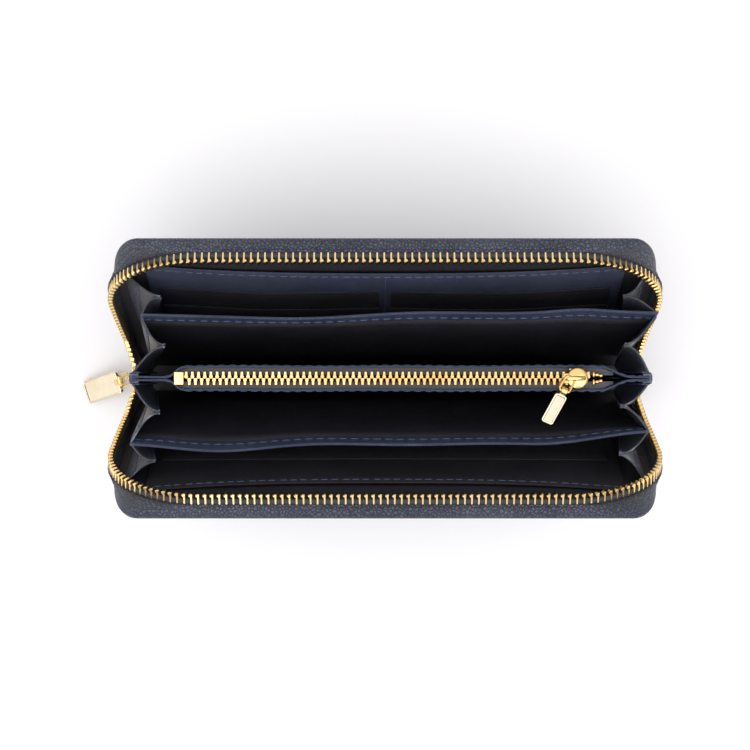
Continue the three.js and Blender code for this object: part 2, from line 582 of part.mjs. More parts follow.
function addMainSlider(parent) {
  const w = MAIN_SLIDER_HALF_WIDTH;
  const top = MAIN_SLIDER_BASE + MAIN_SLIDER_LENGTH;
  const innerPlate = -(HALF - CHAIN_INSET - TOOTH_HEIGHT - GAP);
  const bridgeIn = mainPivot.x - MAIN_PIVOT_OUT;
  const bridgeLow = mainPivot.z - MAIN_BRIDGE.half;
  const bridgeHigh = mainPivot.z + MAIN_BRIDGE.half;
  const bridge = (zLow, zHigh, xHigh) => box(bridgeIn - PLATE, xHigh,
    -MAIN_BRIDGE.halfWidth, MAIN_BRIDGE.halfWidth, zLow, zHigh);
  addMesh(parent, 'main_slider_body', join(
    box(mainPlateOut, mainPlateIn, -w, w, MAIN_SLIDER_BASE, top),
    box(innerPlate, innerPlate + PLATE, -w, w, MAIN_SLIDER_BASE, top),
    box(mainPlateIn - SINK, innerPlate + SINK, -MAIN_WEB.halfWidth, MAIN_WEB.halfWidth,
      top - MAIN_WEB.length, top),
    bridge(bridgeLow, bridgeLow + PLATE, mainPlateIn - SINK),
    bridge(bridgeHigh - PLATE, bridgeHigh, mainPlateIn - SINK),
    bridge(bridgeLow, bridgeHigh, bridgeIn)), gold());
  const linkOut = outward(MAIN_LINK_PITCH);
  const tabOut = outward(MAIN_TAB_PITCH);
  addMesh(pivotGroup(parent, mainPivot, linkOut, upFrom(linkOut)), 'main_slider_link',
    link(MAIN_LINK_REACH, WIRE / 2, MAIN_LINK.halfWidth,
      [windowHole(WIRE / 2, MAIN_LINK_REACH - WIRE / 2, MAIN_LINK.windowHalf)]), gold());
  const tabPivot = mainPivot.clone().addScaledVector(linkOut, MAIN_LINK_REACH);
  addMesh(pivotGroup(parent, tabPivot, tabOut, upFrom(tabOut)), 'main_pull_tab',
    pullTab(MAIN_TAB), gold());
}

// ---- the wallet ----
const wallet = new THREE.Group();
addSpine(wallet);
addCoinPocket(wallet);
addCoinSlider(wallet);
addMainSlider(wallet);
for (const [side, turn, leftSign] of [['rear', 0, -1], ['front', Math.PI, 1]]) {
  const half = new THREE.Group();
  half.rotation.z = turn;
  const folded = new THREE.Group();
  folded.position.set(0, AXIS_Y, AXIS_Z);
  half.add(folded);
  wallet.add(half);
  addCover(folded, side, leftSign);
  addDivider(folded, side);
  addGussets(folded, side, leftSign);
}

export default wallet;
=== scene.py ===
"""Zip-around passport wallet on its spine, covers open in a V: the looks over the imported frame.

Shapes are drawn in millimetres and turned into metres as each mesh is made.
"""
import json
import math

import bmesh
import bpy
from mathutils import Matrix, Vector


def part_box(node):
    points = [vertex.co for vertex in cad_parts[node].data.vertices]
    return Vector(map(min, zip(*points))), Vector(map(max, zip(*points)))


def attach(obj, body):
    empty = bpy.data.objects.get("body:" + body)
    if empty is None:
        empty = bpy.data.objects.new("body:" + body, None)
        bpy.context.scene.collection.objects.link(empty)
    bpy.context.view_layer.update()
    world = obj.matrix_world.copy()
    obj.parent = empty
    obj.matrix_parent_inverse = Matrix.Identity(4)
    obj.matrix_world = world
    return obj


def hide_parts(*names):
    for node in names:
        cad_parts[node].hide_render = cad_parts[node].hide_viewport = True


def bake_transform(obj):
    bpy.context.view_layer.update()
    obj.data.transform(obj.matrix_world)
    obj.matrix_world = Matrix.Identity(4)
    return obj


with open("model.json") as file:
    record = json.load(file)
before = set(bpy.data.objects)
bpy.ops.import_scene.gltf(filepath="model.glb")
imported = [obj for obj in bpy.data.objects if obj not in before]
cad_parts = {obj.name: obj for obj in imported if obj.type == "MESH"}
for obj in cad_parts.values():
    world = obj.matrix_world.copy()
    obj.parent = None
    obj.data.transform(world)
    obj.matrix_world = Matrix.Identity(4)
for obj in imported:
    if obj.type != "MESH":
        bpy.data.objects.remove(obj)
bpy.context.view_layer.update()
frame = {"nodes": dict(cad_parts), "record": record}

MM = 0.001


# ---- sizes from the frame, in millimetres ----
def node_box(name):
    low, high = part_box(name)
    return [v / MM for v in low], [v / MM for v in high]


JOINTS = {j["name"]: j for j in frame["record"]["behaviour"]["joints"]}
AXIS_Y = JOINTS["rear_divider_swing"]["pos_m"][1] / MM
AXIS_Z = JOINTS["rear_divider_swing"]["pos_m"][2] / MM
HALF = node_box("spine_leather")[1][0]
DIVIDER_LEAN = math.radians(JOINTS["rear_divider_swing"]["range_deg"][1])
COVER_LEAN = DIVIDER_LEAN + math.radians(JOINTS["rear_cover_swing"]["range_deg"][1])
FOLD_RADIUS = AXIS_Z
COVER_HEIGHT = 98.5
COIN_TOP = node_box("coin_rear_panel")[1][2]
FOLD_X = node_box("rear_divider_hem")[1][0]
BAND_IN = FOLD_RADIUS - 5.4
CHAIN_OUT = BAND_IN - 0.3
DIVIDER_OUT = BAND_IN
END = {"left": -1, "right": 1}
SIGN = {"rear": 1, "front": -1}


def leaf(side, lean):
    """Maps (x, out, up) of a leaning leaf to its place at rest."""
    sign = SIGN[side]
    s, c = math.sin(lean), math.cos(lean)

    def place(x, out, up):
        return Vector((x, sign * (AXIS_Y + out * c + up * s), AXIS_Z - out * s + up * c))
    return place


def inner_side(place):
    return place(0, -1, 0) - place(0, 0, 0)


# ---- materials ----
def new_material(name, color, roughness, metallic=0.0):
    mat = bpy.data.materials.new(name)
    mat.use_nodes = True
    tree = mat.node_tree
    shader = tree.nodes["Principled BSDF"]
    shader.inputs["Base Color"].default_value = (*color, 1)
    shader.inputs["Roughness"].default_value = roughness
    shader.inputs["Metallic"].default_value = metallic
    coords = tree.nodes.new("ShaderNodeTexCoord")
    return mat, tree, shader, coords.outputs["Object"]


def add(tree, kind, settings=None, **values):
    node = tree.nodes.new(kind)
    for key, value in (settings or {}).items():
        setattr(node, key, value)
    for key, value in values.items():
        node.inputs[key].default_value = value
    return node


def noise(tree, coords, scale, detail=3.0, roughness=0.55):
    node = add(tree, "ShaderNodeTexNoise", Scale=scale, Detail=detail, Roughness=roughness)
    tree.links.new(coords, node.inputs["Vector"])
    return node.outputs["Fac"]


def ramp(tree, source, stops):
    node = tree.nodes.new("ShaderNodeValToRGB")
    elements = node.color_ramp.elements
    while len(elements) < len(stops):
        elements.new(0.5)
    for element, (at, value) in zip(elements, stops):
        element.position = at
        element.color = (*value, 1) if isinstance(value, tuple) else (value, value, value, 1)
    tree.links.new(source, node.inputs["Fac"])
    return node.outputs["Color"]


def bump(tree, shader, height, strength, distance, after=None):
    node = add(tree, "ShaderNodeBump", Strength=strength, Distance=distance)
    tree.links.new(height, node.inputs["Height"])
    if after:
        tree.links.new(after, node.inputs["Normal"])
    tree.links.new(node.outputs["Normal"], shader.inputs["Normal"])
    return node.outputs["Normal"]


def leather_material(name, dark, light, roughness, pebble, depth, edge_highlight=None):
    """Pebbled leather: cells for the grain, painted shade darkening the creases between them, slow colour
    change, and, when an edge colour is given, a painted highlight along sharp edges.
    """
    mat, tree, shader, coords = new_material(name, dark, roughness)
    warp = add(tree, "ShaderNodeTexNoise", Scale=1100.0, Detail=2.0)
    tree.links.new(coords, warp.inputs["Vector"])
    mixed = add(tree, "ShaderNodeMix", {"data_type": "VECTOR"}, Factor=0.0011)
    tree.links.new(coords, mixed.inputs[4])
    tree.links.new(warp.outputs["Color"], mixed.inputs[5])
    cells = add(tree, "ShaderNodeTexVoronoi", {"feature": "DISTANCE_TO_EDGE"}, Scale=pebble)
    tree.links.new(mixed.outputs[1], cells.inputs["Vector"])
    grain = ramp(tree, cells.outputs["Distance"], [(0.0, 0.0), (0.12, 0.72), (0.4, 1.0)])
    tint = ramp(tree, noise(tree, coords, 55.0), [(0.32, dark), (0.7, light)])
    # painted shade: the grain's creases darken the colour, standing in for the shade in the grooves
    crease_shade = add(tree, "ShaderNodeMix", {"data_type": "RGBA", "blend_type": "MULTIPLY"}, Factor=0.35)
    tree.links.new(tint, crease_shade.inputs[6])
    tree.links.new(grain, crease_shade.inputs[7])
    color = crease_shade.outputs[2]
    # painted highlight: when an edge colour is given, sharp edges (high pointiness) are tinted pale, as if
    # catching the light
    if edge_highlight:
        edge = add(tree, "ShaderNodeNewGeometry")
        highlight_mask = ramp(tree, edge.outputs["Pointiness"], [(0.55, 0.0), (0.66, 1.0)])
        highlight_mix = add(tree, "ShaderNodeMix", {"data_type": "RGBA"})
        tree.links.new(highlight_mask, highlight_mix.inputs[0])
        tree.links.new(color, highlight_mix.inputs[6])
        highlight_mix.inputs[7].default_value = (*edge_highlight, 1)
        color = highlight_mix.outputs[2]
    tree.links.new(color, shader.inputs["Base Color"])
    gloss = ramp(tree, noise(tree, coords, 140.0), [(0.3, roughness - 0.06), (0.75, roughness + 0.08)])
    tree.links.new(gloss, shader.inputs["Roughness"])
    first = bump(tree, shader, noise(tree, coords, 60.0, 4.0), 0.3, 0.0010)
    bump(tree, shader, grain, 0.9, depth, first)
    shader.inputs["Specular IOR Level"].default_value = 0.5
    return mat


def tape_material(name, dark, light):
    mat, tree, shader, coords = new_material(name, dark, 0.85)
    waves = []
    for axis in ("X", "Y"):
        wave = add(tree, "ShaderNodeTexWave", {"bands_direction": axis}, Scale=620.0, Distortion=0.4)
        tree.links.new(coords, wave.inputs["Vector"])
        waves.append(wave.outputs["Fac"])
    both = add(tree, "ShaderNodeMath", {"operation": "MAXIMUM"})
    tree.links.new(waves[0], both.inputs[0])
    tree.links.new(waves[1], both.inputs[1])
    tint = ramp(tree, both.outputs[0], [(0.2, dark), (0.9, light)])
    tree.links.new(tint, shader.inputs["Base Color"])
    bump(tree, shader, both.outputs[0], 0.6, 0.0002)
    shader.inputs["Sheen Weight"].default_value = 0.1
    return mat


def gold_material(name, deep, bright, roughness):
    mat, tree, shader, coords = new_material(name, deep, roughness, 1.0)
    tint = ramp(tree, noise(tree, coords, 90.0), [(0.3, deep), (0.7, bright)])
    tree.links.new(tint, shader.inputs["Base Color"])
    smudge = ramp(tree, noise(tree, coords, 420.0, 5.0), [(0.35, roughness - 0.04), (0.75, roughness + 0.09)])
    tree.links.new(smudge, shader.inputs["Roughness"])
    bump(tree, shader, noise(tree, coords, 700.0, 2.0), 0.08, 0.0003)
    return mat


EDGE_HIGHLIGHT = (0.20, 0.21, 0.28)  # painted highlight: a pale colour laid along the leather's sharp edges, where light catches them
NAVY = leather_material("navy_pebble_leather", (0.048, 0.055, 0.084), (0.078, 0.086, 0.120),
                        0.44, 820.0, 0.00060)
HEM = leather_material("navy_hem_leather", (0.040, 0.050, 0.100), (0.058, 0.070, 0.135),
                       0.42, 1700.0, 0.00022, edge_highlight=EDGE_HIGHLIGHT)
SLIP = leather_material("navy_slip_leather", (0.052, 0.062, 0.112), (0.070, 0.082, 0.142),
                        0.44, 1700.0, 0.00022)
SATIN = leather_material("satin_gusset_leather", (0.058, 0.062, 0.082), (0.082, 0.087, 0.110),
                         0.34, 1500.0, 0.00018, edge_highlight=EDGE_HIGHLIGHT)
LINING = leather_material("black_lining", (0.022, 0.020, 0.027), (0.036, 0.032, 0.043),
                          0.5, 2000.0, 0.00012)
TAPE = tape_material("navy_zip_tape", (0.020, 0.023, 0.042), (0.046, 0.051, 0.078))
COIN_TAPE = tape_material("charcoal_zip_tape", (0.036, 0.037, 0.044), (0.095, 0.097, 0.112))
GOLD = gold_material("polished_gold", (0.93, 0.63, 0.24), (1.0, 0.76, 0.38), 0.15)
# painted highlight: a paler copy of the same gold, used on the pull tabs so they look brightly lit
HIGHLIGHT_GOLD = gold_material("gold_painted_highlight", (0.96, 0.80, 0.56), (1.0, 0.88, 0.68), 0.13)
THREAD, _tree, _shader, _coords = new_material("navy_thread", (0.085, 0.10, 0.19), 0.55)
bump(_tree, _shader, noise(_tree, _coords, 2500.0), 0.5, 0.0001)
BOARD, _tree, _shader, _coords = new_material("grey_board", (0.2, 0.19, 0.17), 0.9)
bump(_tree, _shader, noise(_tree, _coords, 700.0), 0.3, 0.0002)


# ---- mesh helpers ----
def ease(t):
    t = min(1.0, max(0.0, t))
    return t * t * (3 - 2 * t)


def finish_mesh(name, bm, material, smooth_angle=35.0):
    bmesh.ops.remove_doubles(bm, verts=bm.verts, dist=1e-7)
    bmesh.ops.recalc_face_normals(bm, faces=bm.faces)
    mesh = bpy.data.meshes.new(name)
    bm.to_mesh(mesh)
    bm.free()
    obj = bpy.data.objects.new(name, mesh)
    bpy.context.scene.collection.objects.link(obj)
    mesh.materials.append(material)
    for polygon in mesh.polygons:
        polygon.use_smooth = True
    mesh.set_sharp_from_angle(angle=math.radians(smooth_angle))
    return obj


def put(obj, body, slot, *nodes):
    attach(obj, body)
    if nodes:
        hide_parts(*nodes)
    return obj


def grid_faces(bm, verts):
    for here, there in zip(verts, verts[1:]):
        for j in range(len(here) - 1):
            bm.faces.new((here[j], here[j + 1], there[j + 1], there[j]))


def ring_faces(bm, rings, caps=True):
    """Faces between closed rings of vertices, and over both ends."""
    for here, there in zip(rings, rings[1:]):
        for j in range(len(here)):
            k = (j + 1) % len(here)
            bm.faces.new((here[j], here[k], there[k], there[j]))
    if caps:
        bm.faces.new(rings[0][::-1])
        bm.faces.new(rings[-1])


def round_edges(obj, width):
    rounding = obj.modifiers.new("edges", "BEVEL")
    rounding.width = width * MM
    rounding.segments = 2
    rounding.angle_limit = math.radians(60)


def spread(half, count):
    """Even places from -half to half, both ends included."""
    return [half * (2 * k / count - 1) for k in range(count + 1)]


def loft(name, rings, material, caps=True, smooth_angle=35.0):
    """A solid from closed rings of points, capped at both ends unless `caps` is off."""
    bm = bmesh.new()
    ring_faces(bm, [[bm.verts.new(Vector(p) * MM) for p in ring] for ring in rings], caps)
    return finish_mesh(name, bm, material, smooth_angle)


def thick_sheet(name, rows, thickness, material, edge=0.18, offset=0.0, smooth_angle=40.0):
    """A grid of points given a thickness and rounded edges."""
    bm = bmesh.new()
    grid_faces(bm, [[bm.verts.new(Vector(p) * MM) for p in row] for row in rows])
    obj = finish_mesh(name, bm, material, smooth_angle)
    solid = obj.modifiers.new("thickness", "SOLIDIFY")
    solid.thickness = thickness * MM
    solid.offset = offset
    solid.use_even_offset = True
    if edge:
        round_edges(obj, edge)
    return obj


def rounded_box(name, low, high, radius, material, matrix=None):
    bm = bmesh.new()
    bmesh.ops.create_cube(bm, size=1.0)
    size = [high[k] - low[k] for k in range(3)]
    for vert in bm.verts:
        vert.co = Vector([(low[k] + size[k] * (vert.co[k] + 0.5)) * MM for k in range(3)])
    bmesh.ops.bevel(bm, geom=list(bm.edges), offset=radius * MM, segments=3, profile=0.5,
                    affect="EDGES", clamp_overlap=True)
    if matrix:
        bmesh.ops.transform(bm, matrix=matrix, verts=bm.verts)
    return even_faces(finish_mesh(name, bm, material, 60.0))


def even_faces(obj):
    """Keeps flat faces flat in the shading, so only the rounded edges turn the light."""
    obj.modifiers.new("normals", "WEIGHTED_NORMAL").keep_sharp = True
    return obj


# ---- lines round a cover's three sides, as (x, up) in the cover's own plane ----
EDGE_CORNER = (11.0, 30.0)  # the leather's rounded corner: its run along x and up the cover
CHAIN_CORNER = (36.0, 34.0)  # the zip's wider, looser sweep round the same corner
CHAIN_TOP = COVER_HEIGHT - 1.9
CHAIN_BULGE = 4.0  # how far the zip stands past the leather's end


def over_top(leg, far, top, run, rise, steps, spans):
    """Up one leg, round its corner and over the top, then the same mirrored."""
    half = leg + [(far - run + run * math.cos(a), top - rise + rise * math.sin(a))
                  for a in (math.pi / 2 * k / steps for k in range(steps))]
    half += [((far - run) * (1 - k / spans), top) for k in range(spans)]
    return [(-x, up) for x, up in half] + [(0.0, top)] + half[::-1]


def edge_line(inset, foot=0.0, steps=12, rises=10, spans=24):
    """The leather's outline, moved in by an inset, from the left foot over the top to the right."""
    run, rise = EDGE_CORNER[0] - inset * 0.5, EDGE_CORNER[1] - inset * 0.5
    w, top = HALF - inset, COVER_HEIGHT - inset
    leg = [(w, foot + (top - rise - foot) * k / rises) for k in range(rises)]
    return over_top(leg, w, top, run, rise, steps, spans)


def chain_line(inset, foot=0.0, steps=12, rises=10, spans=24):
    """The zip's line: it sweeps in from the top edge and bows out past the leather's ends."""
    run, rise = CHAIN_CORNER[0] - inset * 0.5, CHAIN_CORNER[1] - inset * 0.5
    top = CHAIN_TOP - inset
    far = HALF + CHAIN_BULGE - 1.9 - inset
    ups = [foot + (top - rise - foot) * k / rises for k in range(rises)]
    leg = [(far - CHAIN_BULGE * (1 - up / (top - rise)) ** 1.3, up) for up in ups]
    return over_top(leg, far, top, run, rise, steps, spans)


def between(edge, chain, share):
    """A line part of the way from the leather's edge to the zip."""
    return [(a[0] + (b[0] - a[0]) * share, a[1] + (b[1] - a[1]) * share) for a, b in zip(edge, chain)]


def cover_tray(name, place, rings, material, thickness, offset, bevel=0.25):
    """Rings of (line, out), each a line round the cover at its own depth; the last is filled in."""
    bm = bmesh.new()
    verts = [[bm.verts.new(place(x, out, up) * MM) for x, up in line] for line, out in rings]
    grid_faces(bm, verts)
    half = len(verts[-1]) // 2
    for k in range(half):
        left, right = verts[-1][k], verts[-1][-1 - k]
        up_left, up_right = verts[-1][k + 1], verts[-1][-2 - k]
        if up_left is up_right:
            bm.faces.new((left, right, up_left))
        else:
            bm.faces.new((left, right, up_right, up_left))
    obj = finish_mesh(name, bm, material, 50.0)
    solid = obj.modifiers.new("thickness", "SOLIDIFY")
    solid.thickness = thickness * MM
    solid.offset = offset
    round_edges(obj, bevel)
    return obj


# ---- the zip's run in space: round the cover, then down and in to the slider's mouth ----
TURN_UP = 30.0  # where the zip leaves the cover for the slider
STOP_UP = 16.0  # the far end, at the top stop
FAR_CURL = 3.5  # how far the loose end curls in towards the spine
MOUTH = Vector((-98.1, 4.9, 16.6))


def chain_run(side, inset=0.0, out=CHAIN_OUT):
    """Points from the slider's mouth to the top stop: lists for the mouth, the turn and the cover."""
    place = leaf(side, COVER_LEAN)
    sign = SIGN[side]
    line = chain_line(inset, 0.0, 16, 14, 40)
    on_cover = [place(x, out, up) for x, up in line if x < 0 and up > TURN_UP]
    on_cover += [place(x, out - FAR_CURL * max(0.0, 1 - (up - STOP_UP) / 24.0) ** 2, up)
                 for x, up in line if x >= 0 and up > STOP_UP + 1]
    start = on_cover[0]
    mouth = Vector((MOUTH.x, sign * MOUTH.y, MOUTH.z))
    down = (on_cover[0] - on_cover[1]).normalized()
    aim = Vector((0.0, sign * 0.35, 1.0)).normalized()
    curve = []
    for k in range(17):
        t = k / 16
        a, b = mouth + aim * 7.0, start + down * 7.0
        curve.append(mouth * (1 - t) ** 3 + a * 3 * t * (1 - t) ** 2 + b * 3 * t * t * (1 - t)
                     + start * t ** 3)
    return curve[:9], curve[8:], on_cover


def section_along(name, points, inward, section, material):
    """A closed section of (inward, thick) swept along points."""
    rings = []
    for k, point in enumerate(points):
        along = points[min(k + 1, len(points) - 1)] - points[max(k - 1, 0)]
        thick = along.normalized().cross(inward).normalized()
        rings.append([point + inward * a + thick * b for a, b in section])
    return loft(name, rings, material)


def walk(points, step, start):
    """Places at even steps along points in space: (point, direction), and the distance left over."""
    places = []
    travelled, reach = 0.0, start
    for a, b in zip(points, points[1:]):
        length = (b - a).length
        if length < 1e-9:
            continue
        along = (b - a) / length
        while reach <= travelled + length:
            places.append((a + along * (reach - travelled), along))
            reach += step
        travelled += length
    return places, reach - travelled


# ---- stitches: short raised threads along a line of points ----
def stitch_mesh(name, points, normal, length=2.6, gap=1.0, width=0.36, lift=0.14):
    """Points in millimetres along the seam; each stitch lies on the surface with this normal."""
    bm = bmesh.new()
    normal = Vector(normal).normalized()
    travelled = 0.0
    next_start = 0.6
    pieces = []
    for a, b in zip(points, points[1:]):
        a, b = Vector(a), Vector(b)
        span = (b - a).length
        along = (b - a).normalized()
        while next_start + length <= travelled + span:
            pieces.append((a + along * (next_start - travelled), along))
            next_start += length + gap
        travelled += span
        next_start = max(next_start, travelled - 0.5 * length)
    for start, along in pieces:
        across = normal.cross(along).normalized()
        rings = []
        for t, size in ((0.0, 0.35), (0.12, 0.85), (0.5, 1.0), (0.88, 0.85), (1.0, 0.35)):
            centre = start + along * (length * t) + normal * (lift * (size - 0.4))
            rings.append([bm.verts.new((centre + across * (math.cos(q) * width / 2 * size)
                                        + normal * (math.sin(q) * width / 2 * size)) * MM)
                          for q in (2 * math.pi * k / 6 for k in range(6))])
        ring_faces(bm, rings)
    return finish_mesh(name, bm, THREAD)


def stitches(name, points, normal, body, **sizes):
    return put(stitch_mesh(name, points, normal, **sizes), body, "leather")


# ---- zip teeth ----
def tooth_outline(length, width):
    """(along, reach) of one tooth: a straight leg from the bead, and a head with a nub to one side."""
    w = width / 2
    return [(-w * 0.85, 0.0), (w * 0.85, 0.0), (w, 0.2), (w, length - 1.2), (w * 1.5, length - 1.05),
            (w * 2.15, length - 0.8), (w * 2.15, length - 0.5), (w * 1.3, length - 0.3),
            (w * 0.5, length), (-w * 0.6, length), (-w * 1.1, length - 0.25), (-w * 1.1, length - 0.7),
            (-w * 0.9, length - 1.0), (-w, length - 1.5), (-w, 0.2)]


def add_tooth(bm, outline, origin, along, reach, thick, height):
    """One tooth: the outline between two faces, its edges rounded off."""
    rings = []
    for level, shrink in ((-0.5, 0.22), (-0.4, 0.06), (-0.25, 0.0), (0.25, 0.0), (0.4, 0.06), (0.5, 0.22)):
        ring = []
        for x, y in outline:
            ring.append(bm.verts.new((origin + along * (x - math.copysign(min(abs(x), shrink), x))
                                      + reach * (y - shrink * (1 if y > 1 else -1) * 0.6)
                                      + thick * (level * height)) * MM))
        rings.append(ring)
    ring_faces(bm, rings)


TOOTH_PITCH = 2.5
TOOTH = {"length": 4.1, "width": 1.0, "height": 2.1}


def build_chain(side):
    """Tape, bead and teeth in three lengths: the mouth, the turn and the run round the cover."""
    inward = inner_side(leaf(side, COVER_LEAN)).normalized()
    outline = tooth_outline(TOOTH["length"], TOOTH["width"])
    if side == "front":
        outline = [(-a, b) for a, b in reversed(outline)]
    mouth, turn, cover = chain_run(side)
    start = 0.6 if side == "rear" else 0.6 + TOOTH_PITCH / 2
    bead = [(0.9 + 0.85 * math.cos(q), 0.8 * math.sin(q)) for q in (math.pi * k / 4 for k in range(8))]
    tape = [(0.9, -0.28), (0.9, 0.28), (-4.2, 0.28), (-4.2, -0.28)]
    for part, points in (("mouth", mouth), ("turn", turn), ("cover", cover)):
        ends = (tuple(points[0] * MM), tuple(points[-1] * MM))
        bm = bmesh.new()
        places, start = walk(points, TOOTH_PITCH, start)
        for point, along in places:
            reach = (inward - along * inward.dot(along)).normalized()
            add_tooth(bm, outline, point, along, reach, along.cross(reach).normalized(), TOOTH["height"])
        pieces = [(finish_mesh(f"{side}_zip_teeth_{part}", bm, GOLD, 30.0), "gold", f"{side}_zip_chain"),
                  (section_along(f"{side}_zip_bead_{part}", points, inward, bead, TAPE), "tape", None),
                  (section_along(f"{side}_zip_tape_{part}", points, inward, tape, TAPE), "tape",
                   f"{side}_zip_tape")]
        for obj, slot, node in pieces:
            if part == "cover":
                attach(obj, f"{side}_cover")
                if node:
                    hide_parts(node)
            elif part == "turn":
                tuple(ends[0])
                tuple(ends[1])
                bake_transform(obj)
            else:
                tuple(ends[0])
                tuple(ends[1])
                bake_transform(obj)


# ---- covers ----
def build_cover(side):
    place = leaf(side, COVER_LEAN)
    body = f"{side}_cover"
    edge, chain = edge_line(0.0), chain_line(-0.4)
    band = ((1.0, BAND_IN + 0.55), (1.0, BAND_IN + 0.1), (0.86, BAND_IN - 0.05), (0.6, BAND_IN + 0.35),
            (0.3, BAND_IN + 1.5), (0.1, 0.6), (0.0, 1.6))
    rings = [(between(edge, chain, share), out) for share, out in band]
    rings += [(edge_line(inset), out) for inset, out in
              ((0.1, 2.2), (0.5, 2.7), (1.2, 2.95), (2.4, 3.02), (5.0, 2.98))]
    tray = cover_tray(f"{side}_cover_leather", place, rings, NAVY, 0.95, -1.0)
    put(tray, body, "leather", f"{side}_cover_shell", f"{side}_edge_band")
    inner = chain_line(0.4)
    rings = [(inner, BAND_IN + 0.5), (inner, -0.9), (between(edge_line(2.6), inner, 0.4), 0.2),
             (edge_line(3.4), 0.75), (edge_line(6.0), 0.85)]
    skin = cover_tray(f"{side}_cover_lining_skin", place, rings, LINING, 0.3, 1.0, 0.1)
    put(skin, body, "lining", f"{side}_cover_lining", f"{side}_cover_board")
    build_chain(side)
    last = chain_run(side)[2][-1]
    stop = clasp(f"{side}_top_stop", last + Vector((0, 0, -2.4)), (2.4, 3.0, 3.4), GOLD)
    put(stop, body, "gold", f"{side}_zip_top_stop")


def clasp(name, centre, size, material):
    """A small pressed clamp: a rounded block with a waist where its jaws are closed."""
    bm = bmesh.new()
    bmesh.ops.create_cube(bm, size=1.0)
    bmesh.ops.subdivide_edges(bm, edges=list(bm.edges), cuts=3, use_grid_fill=True)
    for vert in bm.verts:
        x, y, z = vert.co
        pinch = 1 - 0.22 * math.exp(-(z / 0.18) ** 2)
        round_off = 1 - 0.16 * (abs(2 * x) ** 4 * abs(2 * y) ** 4)
        vert.co = (Vector((x * size[0] * pinch * round_off, y * size[1] * pinch * round_off,
                           z * size[2])) + Vector(centre)) * MM
    bmesh.ops.bevel(bm, geom=[e for e in bm.edges if e.calc_face_angle(0) > 0.9], offset=0.28 * MM,
                    segments=2, affect="EDGES")
    return finish_mesh(name, bm, material, 45.0)


LEAF_FOOT = 4.0  # the foot of every panel sewn inside a cover
SLIP_HALF = 88.0
SLIP_TOP = 77.0  # in the middle; the ends stand SLIP_RISE higher
SLIP_RISE = 5.0
POCKET_HALF = 84.0
CARD_TOPS = (62.0, 49.0, 35.0)
DOCUMENT_TOP = 58.0


def build_slip_panel(side):
    """The slip panel inside a cover: bellied, its top edge dipping in the middle, with a stitched hem."""
    place = leaf(side, COVER_LEAN)
    body = f"{side}_cover"

    def top(x):
        return SLIP_TOP + SLIP_RISE * (abs(x) / SLIP_HALF) ** 3

    def out(x, v):
        return 0.1 - 0.9 * (1 - (x / SLIP_HALF) ** 2) * v ** 2

    rows = [[place(x, out(x, v), LEAF_FOOT + (top(x) - LEAF_FOOT) * v) for x in spread(SLIP_HALF, 48)]
            for v in (j / 14 for j in range(15))]
    panel = thick_sheet(f"{side}_slip_leather", rows, 0.6, SLIP if side == "rear" else LINING, 0.2)
    put(panel, body, "leather", f"{side}_slip_panel")
    normal = inner_side(place)
    seam = [place(x, out(x, 0.96) - 0.36, top(x) - 2.2)
            for x in (end * 0.98 for end in spread(SLIP_HALF, 60))]
    stitches(f"{side}_slip_stitches", seam, normal, body)


def build_card_pockets():
    place = leaf("rear", COVER_LEAN)
    normal = inner_side(place)
    for row, top in enumerate(CARD_TOPS):
        base = -0.55 - 0.55 * row
        for column, low, high in (("left", -POCKET_HALF, -2.2), ("right", 2.2, POCKET_HALF)):
            rows = []
            for j in range(9):
                v = j / 8
                line = []
                for k in range(25):
                    u = k / 24
                    x = low + (high - low) * u
                    sag = 0.7 * math.sin(math.pi * u) * v
                    rise = 3.0 * ease((abs(x) - 42.0) / 42.0) * v
                    line.append(place(x, base - 0.35 * math.sin(math.pi * u) * v,
                                      LEAF_FOOT + (top - sag - LEAF_FOOT) * v + rise))
                rows.append(line)
            pocket = thick_sheet(f"card_pocket_{column}_{row + 1}_leather", rows, 0.4, LINING, 0.12)
            put(pocket, "rear_cover", "leather", f"card_pocket_{column}_{row + 1}")
    bar = [place(0, -1.0, up) for up in range(36, 76, 2)]
    stitches("card_seam_stitches", bar, normal, "rear_cover", length=1.6, gap=0.5)


def build_document_panel():
    place = leaf("front", COVER_LEAN)
    rows = [[place(POCKET_HALF * t, -0.55 - 0.5 * (1 - t ** 2) * v,
                   LEAF_FOOT + (DOCUMENT_TOP - LEAF_FOOT) * v) for t in spread(1.0, 32)]
            for v in (j / 8 for j in range(9))]
    panel = thick_sheet("front_document_leather", rows, 0.4, LINING, 0.12)
    put(panel, "front_cover", "leather", "front_document_panel")


# ---- dividers ----
# How far each leaf's top corners sit from the fold line, at the left and the right end.
DRIFT = {"rear": (4.0, 6.5), "front": (0.0, 3.0), "coin": (0.5, 3.6)}
DIVIDER_TOP = 78.4
HEM_HEIGHT = 9.0
HEM_SEAM_DROP = 5.2  # from the free edge down to the stitches
GUSSET_TOP = 76.5
GUSSET_DEPTH = 11.0


def drift(leaf_name, x, v):
    """The sideways shift of a leaf's free edge, which grows from nothing at its foot."""
    left, right = DRIFT[leaf_name]
    return (left + (right - left) * (x / FOLD_X + 1) / 2) * max(0.0, v) ** 1.5


def divider_point(side, x, up, shift=0.0):
    """A point of a divider: its free edge wanders, and its corners are drawn in or out."""
    t = x / FOLD_X
    v = up / DIVIDER_TOP
    if side == "rear":
        wave = -2.3 * math.exp(-((t + 0.5) / 0.42) ** 2) + 0.9 * math.exp(-((t - 0.7) / 0.12) ** 2)
    else:
        wave = 2.4 * math.exp(-((t + 0.66) / 0.25) ** 2) - 4.6 * ease((t - 0.55) / 0.45)
    out = DIVIDER_OUT - 0.4 + shift + (wave + 0.25 * math.sin(9 * t + 1)) * max(0.0, v) ** 3
    return leaf(side, DIVIDER_LEAN)(x + drift(side, x, v), out, up)


